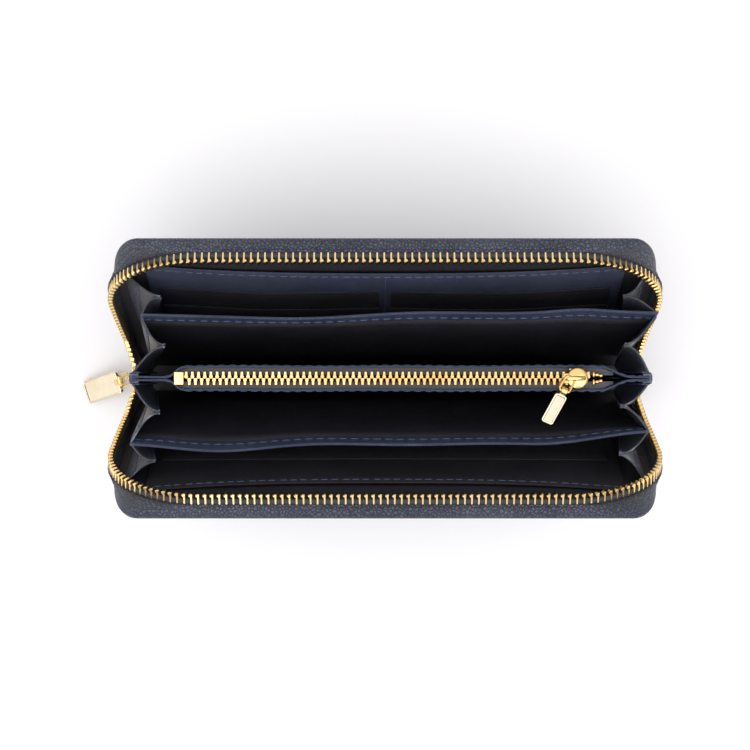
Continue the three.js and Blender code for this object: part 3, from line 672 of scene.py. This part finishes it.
def build_divider(side):
    body = f"{side}_divider"
    hem_foot = DIVIDER_TOP - HEM_HEIGHT
    xs = spread(FOLD_X, 90)
    lower = [[divider_point(side, x, up) for x in xs]
             for up in (1.0, 20.0, 40.0, 52.0, 62.0, hem_foot - 0.2)]
    panel = thick_sheet(f"{side}_divider_lining", lower, 0.6, LINING, 0.0)
    put(panel, body, "lining", f"{side}_divider_panel")
    upper = [[divider_point(side, x, hem_foot + (DIVIDER_TOP - hem_foot) * k / 8) for x in xs]
             for k in range(9)]
    hem = thick_sheet(f"{side}_divider_hem_leather", upper, 1.05, HEM, 0.34)
    put(hem, body, "leather", f"{side}_divider_hem")
    normal = inner_side(leaf(side, DIVIDER_LEAN))
    for name, shift, way in (("stitches", -0.6, 1), ("back_stitches", 0.6, -1)):
        seam = [divider_point(side, x, DIVIDER_TOP - HEM_SEAM_DROP, shift) for x in xs]
        stitches(f"{side}_divider_{name}", seam, normal * way, body)


# ---- gussets: each is two wings that meet in an inward fold ----
def build_gussets(side):
    sign = SIGN[side]
    cover = leaf(side, COVER_LEAN)

    def coin_edge(x, up):
        return Vector((x + drift("coin", x, up / COIN_TOP), sign * 1.5, up + AXIS_Z * 0.5))

    def cover_edge(x, up):
        return cover(x + math.copysign(3.0, x) * ease(up / 70), 0.2, up)

    sets = (("coin", "spine", f"{side}_divider", coin_edge,
             lambda x, up: divider_point(side, x - math.copysign(0.3, x), up, -0.45), 15.0, 0.5),
            ("cover", f"{side}_divider", f"{side}_cover",
             lambda x, up: divider_point(side, x - math.copysign(0.3, x), up, 0.45), cover_edge, 26.0, 0.4))
    for kind, body_a, body_b, edge_a, edge_b, foot, share in sets:
        for end_name, end in END.items():
            build_gusset(f"{side}_{kind}_gusset_{end_name}", end, edge_a, edge_b, foot, share, body_a, body_b)


def build_gusset(node, end, edge_a, edge_b, foot, share, body_a, body_b):
    """Two wings from edge a and edge b to the tip of the fold, the outer one with a bound, sewn strip."""
    fold = end * FOLD_X
    heights = [foot + (GUSSET_TOP - foot) * k / 12 for k in range(13)]
    near = Vector((fold, 0, 0)) * MM
    far = Vector((fold - end * 2 * GUSSET_DEPTH, 0, 0)) * MM

    def row(up, wing, low, high, lift):
        a, b = edge_a(fold, up), edge_b(fold, up)
        middle = a.lerp(b, share)
        middle.x = (a.x + b.x) / 2 - end * GUSSET_DEPTH * (0.2 + 0.8 * (up - foot) / (GUSSET_TOP - foot))
        start = a if wing == "a" else b
        bow = (b - a) * (0.13 if wing == "a" else -0.13)
        across = (middle - start).cross(Vector((0, 0, 1))).normalized()
        if across.x * end < 0:
            across = -across
        points = []
        for k in range(11):
            t = low + (high - low) * k / 10
            soft = t if t < 0.8 else t - 0.12 * ((t - 0.8) / 0.2) ** 2 * 0.5
            points.append(start.lerp(middle, soft) + bow * math.sin(math.pi * t) + across * lift)
        return points

    for wing in ("a", "b"):
        pieces = [thick_sheet(f"{node}_{wing}", [row(up, wing, 0.0, 1.0, 0.0) for up in heights],
                              0.6, SATIN, 0.2)]
        if wing == "b":
            strip = [row(up, wing, 0.02, 0.34, 0.42) for up in heights]
            pieces.append(thick_sheet(f"{node}_strip", strip, 0.45, NAVY, 0.18))
            seam = [row(up, wing, 0.27, 0.27, 0.72)[0] for up in heights]
            face = (strip[5][1] - strip[5][0]).cross(strip[6][0] - strip[5][0])
            face = face if face.x * end > 0 else -face
            pieces.append(stitch_mesh(f"{node}_stitches", seam, face))
        for obj in pieces:
            start, stop = (near, far) if wing == "a" else (far, near)
            tuple(start)
            tuple(stop)
            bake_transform(obj)
        if wing == "a":
            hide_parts(node)


# ---- spine ----
SPINE_THICK = 0.95


def build_spine():
    def strip(name, angles, sign):
        ring = [(sign * (AXIS_Y + r * math.cos(a)), AXIS_Z + r * math.sin(a))
                for r, order in ((FOLD_RADIUS, angles), (FOLD_RADIUS - SPINE_THICK, angles[::-1]))
                for a in order]
        rings = [[(x, y, z) for y, z in ring] for x in spread(HALF, 20)]
        return loft(name, rings, NAVY)

    flat = [(-AXIS_Y, 0.0), (AXIS_Y, 0.0), (AXIS_Y, SPINE_THICK), (-AXIS_Y, SPINE_THICK)]
    base = loft("spine_outer_leather", [[(x, y, z) for y, z in flat] for x in spread(HALF, 20)], NAVY)
    put(base, "spine", "leather", "spine_leather")
    down = -math.pi / 2
    split = down + (math.pi / 2 - COVER_LEAN) * DIVIDER_LEAN / COVER_LEAN
    parts = (("low", "spine", "divider", down, split), ("high", "divider", "cover", split, -COVER_LEAN))
    for side, sign in SIGN.items():
        for part, first, second, start, end in parts:
            angles = [start + (end - start) * k / 6 for k in range(7)]
            obj = strip(f"{side}_spine_fold_{part}", angles, sign)
            at = [(0, sign * (AXIS_Y + FOLD_RADIUS * math.cos(a)) * MM,
                   (AXIS_Z + FOLD_RADIUS * math.sin(a)) * MM) for a in (start, end)]
            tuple(at[0])
            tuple(at[1])
            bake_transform(obj)


# ---- coin pocket ----
COIN_FOOT = 2.9
COIN_HALF = 4.6  # half the pocket along its zip; COIN_FOOT_HALF at its foot, COIN_SHUT at its ends
COIN_FOOT_HALF = 3.4
COIN_SHUT = 0.95
COIN_PITCH = 2.25
COIN_TOOTH = [(-0.60, 0.0), (0.60, 0.0), (0.62, 1.5), (0.80, 1.75), (0.80, 2.2), (0.48, 2.65),
              (-0.48, 2.65), (-0.80, 2.2), (-0.80, 1.75), (-0.62, 1.5)]


def coin_up(v):
    return COIN_FOOT + (COIN_TOP - COIN_FOOT) * v


def coin_half_width(x, v):
    """Half the pocket's width at x, a share v of the way up: shut at its ends, full along the zip."""
    full, shut = (73.5, 79.5) if x < 0 else (78.5, 87.5)
    open_share = 1 - ease((abs(x) - full) / (shut - full)) * ease(v / 0.6 + 0.2)
    foot = 1 - ease((abs(x) - (FOLD_X - 22.0)) / 22.0)
    middle = COIN_FOOT_HALF + (COIN_HALF - COIN_FOOT_HALF) * v
    return COIN_SHUT + (middle - COIN_SHUT) * min(open_share, foot if v < 0.35 else open_share)


def build_coin_pocket():
    xs = spread(FOLD_X, 140)
    for side, sign in SIGN.items():
        def point(x, v, inward=0.4):
            bump_y = 0.12 * math.sin(0.11 * x + sign) * v
            return Vector((x + drift("coin", x, v) * ease((abs(x) - 78.0) / 15.0),
                           sign * (coin_half_width(x, v) - inward + bump_y), coin_up(v)))
        rows = [[point(x, v) for x in xs] for v in (0.0, 0.2, 0.4, 0.6, 0.8, 0.92, 0.97, 1.0)]
        panel = thick_sheet(f"coin_{side}_leather", rows, 0.8, HEM, 0.28)
        put(panel, "spine", "leather", f"coin_{side}_panel")
        seam = [point(x, 0.965, -0.06) for x in xs]
        stitches(f"coin_{side}_stitches", seam, (0, sign, 0), "spine")
        low, high = node_box(f"coin_zip_tape_{side}")
        rows = []
        for k in range(41):
            x = low[0] - 2.0 + (high[0] + 10.0 - low[0]) * k / 40
            outer = coin_half_width(x, 1.0) - 0.75
            inner = min(1.2, outer - 0.1)
            rows.append([Vector((x, sign * (outer + (inner - outer) * t / 6),
                                 COIN_TOP - 1.2 - 0.35 * math.sin(math.pi * t / 6))) for t in range(7)])
        tape = thick_sheet(f"coin_tape_{side}_woven", rows, 0.45, COIN_TAPE, 0.0)
        put(tape, "spine", "tape", f"coin_zip_tape_{side}")
        low, high = node_box(f"coin_zip_chain_{side}")
        bm = bmesh.new()
        x = low[0] + (0.6 if side == "rear" else 0.6 + COIN_PITCH / 2)
        reach = Vector((0, -sign, 0))
        while x < high[0] - 0.5:
            add_tooth(bm, COIN_TOOTH, Vector((x, sign * 2.5, COIN_TOP - 0.55)), Vector((1, 0, 0)), reach,
                      Vector((0, 0, 1)), 2.1)
            x += COIN_PITCH
        teeth = finish_mesh(f"coin_teeth_{side}", bm, GOLD, 30.0)
        put(teeth, "spine", "gold", f"coin_zip_chain_{side}")
        low, high = node_box(f"coin_top_stop_{side}")
        put(crimped_stop(f"coin_stop_{side}", low, high, sign), "spine", "gold", f"coin_top_stop_{side}")
    low, high = node_box("coin_bottom_stop")
    put(rounded_box("coin_end_box", low, high, 0.35, GOLD), "spine", "gold", "coin_bottom_stop")
    for name, end in END.items():
        build_end_binding(name, end)


def crimped_stop(name, low, high, sign):
    """A leg tooth and two wire crimps, stepping in towards the closed end of the zip."""
    bm = bmesh.new()
    z = (low[2] + high[2]) / 2
    far = max(abs(low[1]), abs(high[1]))
    for k, (share, y, size) in enumerate(((0.14, 1.45, (0.55, 1.25, 1.0)), (0.5, 1.30, (0.78, 0.85, 0.95)),
                                          (0.88, 0.98, (0.80, 0.78, 0.9)))):
        centre = Vector((low[0] + (high[0] - low[0]) * share, sign * min(y, far), z))
        made = bmesh.ops.create_icosphere(bm, subdivisions=3, radius=1.0)["verts"]
        for vert in made:
            pinch = 1 - 0.25 * math.exp(-(vert.co.x / 0.3) ** 2) * (k > 0)
            at = Vector((vert.co.x * size[0], vert.co.y * size[1] * pinch, vert.co.z * size[2]))
            vert.co = (at + centre) * MM
    return finish_mesh(name, bm, GOLD, 60.0)


# (inset, share of the half width) round the binding's folded section
BINDING = ((3.4, -1), (1.2, -1), (0.3, -0.8), (0, -0.35), (0, 0.35), (0.3, 0.8), (1.2, 1), (3.4, 1))


def build_end_binding(name, end):
    """The leather folded round each end of the pocket, where its panels and gussets are sewn together."""
    rows = []
    half = 2.1
    for k in range(9):
        v = 0.18 + 0.80 * k / 8
        x = end * (FOLD_X + 0.6) + drift("coin", end * FOLD_X, v)
        z = coin_up(v)
        rows.append([Vector((x - end * inset, half * share, z)) for inset, share in BINDING])
    put(thick_sheet(f"coin_end_binding_{name}", rows, 0.7, HEM, 0.22), "spine", "leather")
    top = rows[-1][3]
    cap_low = (min(top.x, top.x - end * 3.2), -1.7, top.z - 1.2)
    cap_high = (max(top.x, top.x - end * 3.2), 1.7, top.z + 0.25)
    put(rounded_box(f"coin_end_cap_{name}", cap_low, cap_high, 0.45, HEM), "spine", "leather")
    for k, y in enumerate((-1.0, 1.0)):
        seam = [Vector((top.x - end * d, y, top.z + 0.3)) for d in (0.3, 2.9)]
        stitches(f"coin_end_stitches_{name}_{k + 1}", seam, (0, 0, 1), "spine", length=1.0, gap=0.3)


# ---- sliders and pulls ----
def local_frame(origin, out, up):
    """A matrix whose +X is `out` and +Z `up`, in metres."""
    across = up.cross(out).normalized()
    matrix = Matrix((out, across, up)).transposed().to_4x4()
    matrix.translation = origin
    return matrix


def pivot_of(joint):
    return Vector(JOINTS[joint]["pos_m"])


def rod(name, points, radius, material, closed=False, squash=1.0, matrix=None, sides=10):
    """A round bar along points in millimetres, flattened by `squash` along local Z."""
    points = [Vector(p) for p in points]
    count = len(points)
    rings = []
    for k, point in enumerate(points):
        before = points[(k - 1) % count] if closed or k else point
        after = points[(k + 1) % count] if closed or k + 1 < count else point
        along = (after - before).normalized()
        side = along.orthogonal() if abs(along.z) > 0.95 else along.cross(Vector((0, 0, 1)))
        side.normalize()
        top = side.cross(along).normalized()
        rings.append([point + side * radius * math.cos(q) + top * radius * squash * math.sin(q)
                      for q in (2 * math.pi * n / sides for n in range(sides))])
    if closed:
        rings.append(rings[0])
    obj = loft(name, rings, material, caps=not closed)
    if matrix:
        obj.data.transform(matrix)
    return obj


def rounded_loop(length, half_start, half_end, corner, steps=5):
    """Points of a closed loop in XY from x = 0 to x = length, wider or narrower at its far end."""
    corners = [(0, -half_start), (length, -half_end), (length, half_end), (0, half_start)]
    points = []
    for k, (x, y) in enumerate(corners):
        here = Vector((x, y, 0))
        before = (Vector((*corners[k - 1], 0)) - here).normalized() * corner
        after = (Vector((*corners[(k + 1) % 4], 0)) - here).normalized() * corner
        for n in range(steps + 1):
            t = n / steps
            points.append((here + before) * (1 - t) ** 2 + here * 2 * t * (1 - t) + (here + after) * t * t)
    return points


def plaque(name, start, length, width, thickness, material, matrix, rim=0.62, sunk=0.32):
    """A pull's flat tab: rounded ends, soft edges, and a sunk panel inside a raised rim on both faces."""
    def outline(inset, z):
        corner = max(0.35, 1.3 - inset)
        loop = rounded_loop(length - 2 * inset, width / 2 - inset, width / 2 - inset, corner, 4)
        return [p + Vector((start + inset, 0, z)) for p in loop]
    top = thickness / 2
    levels = [(rim + 0.35, top - sunk), (rim + 0.22, top - sunk), (rim, top - 0.03), (rim - 0.14, top),
              (0.34, top), (0.1, top - 0.1), (0.0, top - 0.34)]
    rings = [outline(inset, z) for inset, z in levels]
    rings += [outline(inset, -z) for inset, z in reversed(levels)]
    obj = loft(name, rings, material, smooth_angle=50.0)
    obj.data.transform(matrix)
    return obj


def barrel(name, inner, outer, half, matrix, material):
    """The tab's rolled eye, a thick ring with soft edges."""
    section = [(inner, -half + 0.15), (inner + 0.15, -half), (outer - 0.2, -half), (outer, -half + 0.2),
               (outer, half - 0.2), (outer - 0.2, half), (inner + 0.15, half), (inner, half - 0.15)]
    rings = [[Vector((r * math.cos(q), y, r * math.sin(q))) for r, y in section]
             for q in (2 * math.pi * n / 24 for n in range(25))]
    obj = loft(name, rings, material, caps=False)
    obj.data.transform(matrix)
    return obj


def upward(direction):
    return direction if direction.z > 0 else -direction


def build_pull(prefix, link_joint, tab_joint, tab_out, tab_size, half_start, half_end, bodies, nodes):
    pivot, end = pivot_of(link_joint), pivot_of(tab_joint)
    out = (end - pivot).normalized()
    axis = Vector(JOINTS[link_joint]["axis"])
    reach = (end - pivot).length / MM
    if prefix == "coin":
        up = -axis
    else:
        up = upward(out.cross(axis).normalized())
    frame_link = local_frame(pivot, out, up)
    loop = [p + Vector((-0.5, 0, 0)) for p in rounded_loop(reach + 0.5, half_start, half_end, 1.1, 6)]
    ring = rod(f"{prefix}_link_ring", loop, 0.46, GOLD, closed=True, matrix=frame_link)
    put(ring, bodies[0], "gold", nodes[0])
    length, width, thickness = tab_size
    start, tab_up = 1.55, up
    if prefix == "main":
        start, tab_up = 0.2, upward(tab_out.cross(axis).normalized())
        width *= 1.2  # wider than the CAD's, to follow the photo
    frame_tab = local_frame(end, tab_out if tab_out else out, tab_up)
    # the tab plate takes the paler gold copy, a painted highlight
    tab = plaque(f"{prefix}_tab_plaque", start, length - start, width, thickness, HIGHLIGHT_GOLD, frame_tab)
    put(even_faces(tab), bodies[1], "gold", nodes[1])
    eye = barrel(f"{prefix}_tab_eye", 0.62, 1.45, 1.15, frame_tab, GOLD)
    put(eye, bodies[1], "gold")
    neck = rounded_box(f"{prefix}_tab_neck", (1.0, -1.1, -thickness * 0.42), (2.3, 1.1, thickness * 0.42),
                       0.25, GOLD, frame_tab)
    put(neck, bodies[1], "gold")


def build_coin_slider():
    low, high = node_box("coin_slider_body")
    pivot = pivot_of("coin_link_swivel") / MM
    x0 = pivot.x + 2.7
    plate_z = COIN_TOP + 0.95
    rings = []
    for radius, z in ((3.55, 0.0), (3.85, 0.12), (3.95, 0.5), (3.8, 0.82), (3.3, 1.18), (2.5, 1.5),
                      (1.5, 1.72), (0.5, 1.8)):
        rings.append([Vector((x0 + radius * math.cos(q), radius * 1.04 * math.sin(q), plate_z + z))
                      for q in (2 * math.pi * n / 40 for n in range(40))])
    dome = loft("coin_slider_dome", rings, GOLD, smooth_angle=55.0)
    put(dome, "coin_slider", "gold", "coin_slider_body")
    arch = [(x0 + 2.6, 0, plate_z + 1.3), (x0 + 1.9, 0, plate_z + 2.5), (x0 + 0.6, 0, plate_z + 3.3),
            (x0 - 1.2, 0, plate_z + 3.95), (x0 - 2.9, 0, plate_z + 4.05), (x0 - 4.1, 0, plate_z + 3.4),
            (x0 - 4.5, 0, plate_z + 2.2), (x0 - 4.2, 0, plate_z + 0.9)]
    put(rod("coin_slider_bridge", smooth_line(arch, 4), 0.82, GOLD, squash=0.62, sides=14),
        "coin_slider", "gold")
    for name, start, stop, radius in (
            ("nose", (x0 - 5.0, -1.9, plate_z + 0.02), (x0 - 1.6, 1.9, plate_z + 1.0), 0.38),
            ("under", (low[0] + 0.2, -2.3, COIN_TOP - 3.0), (high[0] - 0.2, 2.3, COIN_TOP - 2.1), 0.35),
            ("wedge", (x0 + 1.0, -0.35, COIN_TOP - 2.3), (x0 + 3.4, 0.35, plate_z + 0.4), 0.15)):
        put(rounded_box(f"coin_slider_{name}", start, stop, radius, GOLD), "coin_slider", "gold")
    for side, sign in SIGN.items():
        cheek = rounded_box(f"coin_slider_cheek_{side}",
                            (x0 - 3.0, min(sign * 3.0, sign * 3.6), COIN_TOP - 0.5),
                            (x0 + 2.4, max(sign * 3.0, sign * 3.6), plate_z + 0.4), 0.25, GOLD)
        put(cheek, "coin_slider", "gold")
    build_pull("coin", "coin_link_swivel", "coin_tab_flap", None, (14.0, 4.9, 1.4), 1.75, 2.05,
               ("coin_link", "coin_tab"), ("coin_slider_link", "coin_pull_tab"))


def smooth_line(points, steps):
    """Catmull-Rom through the points."""
    points = [Vector(p) for p in points]
    ext = [points[0] * 2 - points[1]] + points + [points[-1] * 2 - points[-2]]
    line = []
    for k in range(1, len(ext) - 2):
        a, b, c, d = ext[k - 1:k + 3]
        for n in range(steps):
            t = n / steps
            line.append(0.5 * ((2 * b) + (c - a) * t + (2 * a - 5 * b + 4 * c - d) * t * t
                               + (3 * b - a - 3 * c + d) * t ** 3))
    line.append(points[-1])
    return line


INNER_PLATE_X = -96.9  # the outer face of the main slider's inner plate


def build_main_slider():
    low, high = node_box("main_slider_body")
    pivot = pivot_of("main_link_swing") / MM
    plate_x = pivot.x + 1.4
    z0, z1 = low[2], high[2]

    def shield(name, x_low, x_high):
        """A slider plate: a shield, wider at its two shoulders than at its single mouth."""
        outline = []
        for t, w in ((0.0, 2.6), (0.12, 3.1), (0.4, 3.35), (0.7, 4.0), (0.9, 4.25), (1.0, 3.9)):
            outline.append((w, z0 + (z1 - z0) * t))
        loop = outline + [(0.9, z1 - 0.1), (0.0, z1 - 0.7), (-0.9, z1 - 0.1)]
        loop += [(-w, z) for w, z in outline[::-1]] + [(0.0, z0 - 0.05)]
        middle = (z0 + z1) / 2
        rings = []
        for x, shrink in ((x_low, 0.9), (x_low + 0.15, 0.97), (x_low + 0.35, 1.0), (x_high - 0.3, 1.0),
                          (x_high - 0.1, 0.96), (x_high, 0.9)):
            rings.append([Vector((x, y * shrink, middle + (z - middle) * shrink)) for y, z in loop])
        return loft(name, rings, GOLD, smooth_angle=40.0)
    put(shield("main_slider_outer", plate_x, plate_x + 1.0), "main_slider", "gold", "main_slider_body")
    put(shield("main_slider_inner", INNER_PLATE_X, INNER_PLATE_X + 1.0), "main_slider", "gold")
    wedge = rounded_box("main_slider_wedge", (plate_x + 0.6, -0.7, z1 - 3.5),
                        (INNER_PLATE_X + 0.4, 0.7, z1 - 0.6), 0.3, GOLD)
    put(wedge, "main_slider", "gold")
    for side, sign in SIGN.items():
        lip = rounded_box(f"main_slider_lip_{side}",
                          (plate_x + 0.3, min(sign * 3.0, sign * 3.5), z0 + 0.8),
                          (plate_x + 1.35, max(sign * 3.0, sign * 3.5), z1 - 2.5), 0.22, GOLD)
        put(lip, "main_slider", "gold")
    zc = pivot.z
    arch = [(plate_x + 0.3, 0, zc + 3.4), (plate_x - 0.6, 0, zc + 3.4), (plate_x - 1.9, 0, zc + 2.9),
            (plate_x - 2.7, 0, zc + 1.4), (plate_x - 2.85, 0, zc - 0.4), (plate_x - 2.6, 0, zc - 2.2),
            (plate_x - 1.6, 0, zc - 3.1), (plate_x + 0.3, 0, zc - 3.2)]
    put(rod("main_slider_bridge", smooth_line(arch, 4), 0.75, GOLD, sides=14), "main_slider", "gold")
    pitch, yaw = math.radians(23), math.radians(18)
    tab_out = Vector((-math.cos(yaw) * math.cos(pitch), -math.sin(yaw) * math.cos(pitch), -math.sin(pitch)))
    build_pull("main", "main_link_swing", "main_tab_flap", tab_out, (16.5, 7.8, 1.8), 2.1, 2.3,
               ("main_link", "main_tab"), ("main_slider_link", "main_pull_tab"))
    low, high = node_box("main_bottom_stop")
    centre = [(low[k] + high[k]) / 2 for k in range(3)]
    put(clasp("main_stop_box", centre, [high[k] - low[k] for k in range(3)], GOLD),
        "spine", "gold", "main_bottom_stop")


# ---- everything the frame already has right: better materials on the CAD nodes ----
def dress(node, material):
    obj = frame["nodes"][node]
    obj.data.materials.clear()
    obj.data.materials.append(material)


for side in ("rear", "front"):
    build_cover(side)
    build_slip_panel(side)
    build_divider(side)
    build_gussets(side)
build_card_pockets()
build_document_panel()
build_spine()
build_coin_pocket()
build_coin_slider()
build_main_slider()
dress("spine_board", BOARD)
dress("spine_lining", LINING)
dress("coin_pocket_base", LINING)


# ---- stage, light and camera ----
def build_stage():
    bm = bmesh.new()
    bmesh.ops.create_grid(bm, x_segments=1, y_segments=1, size=3.0)
    for vert in bm.verts:
        vert.co.z = -0.0002
    mat, tree, shader, coords = new_material("pale_floor", (0.93, 0.92, 0.94), 0.6)
    tint = ramp(tree, noise(tree, coords, 3.0), [(0.3, (0.925, 0.910, 0.930)), (0.7, (0.94, 0.925, 0.945))])
    tree.links.new(tint, shader.inputs["Base Color"])
    floor = finish_mesh("floor", bm, mat)
    world = bpy.data.worlds.new("studio")
    bpy.context.scene.world = world
    world.use_nodes = True
    tree = world.node_tree
    height = tree.nodes.new("ShaderNodeSeparateXYZ")
    tree.links.new(tree.nodes.new("ShaderNodeTexCoord").outputs["Generated"], height.inputs["Vector"])
    sky = ramp(tree, height.outputs["Z"], [(0.0, 0.30), (0.35, 0.42), (0.62, 0.92), (1.0, 1.0)])
    tree.links.new(sky, tree.nodes["Background"].inputs["Color"])
    tree.nodes["Background"].inputs["Strength"].default_value = 1.12


def area_light(name, place, aim, size, power):
    data = bpy.data.lights.new(name, "AREA")
    data.shape = "RECTANGLE"
    data.size, data.size_y = size
    data.energy = power
    obj = bpy.data.objects.new(name, data)
    obj.location = place
    obj.rotation_euler = (Vector(aim) - Vector(place)).to_track_quat("-Z", "Y").to_euler()
    bpy.context.scene.collection.objects.link(obj)


def build_camera():
    data = bpy.data.cameras.new("camera")
    data.lens = 90
    data.sensor_width = 36
    data.clip_start = 0.01
    camera = bpy.data.objects.new("camera", data)
    camera.location = (-0.00375, 0.0012, 0.762)
    bpy.context.scene.collection.objects.link(camera)
    bpy.context.scene.camera = camera


build_stage()
area_light("key", (-0.45, -0.55, 1.3), (0, 0, 0.05), (1.4, 1.4), 8.5)
area_light("fill", (0.75, -0.35, 1.1), (0, 0, 0.05), (1.2, 1.2), 4.5)
build_camera()
bpy.context.scene.view_settings.view_transform = "Standard"
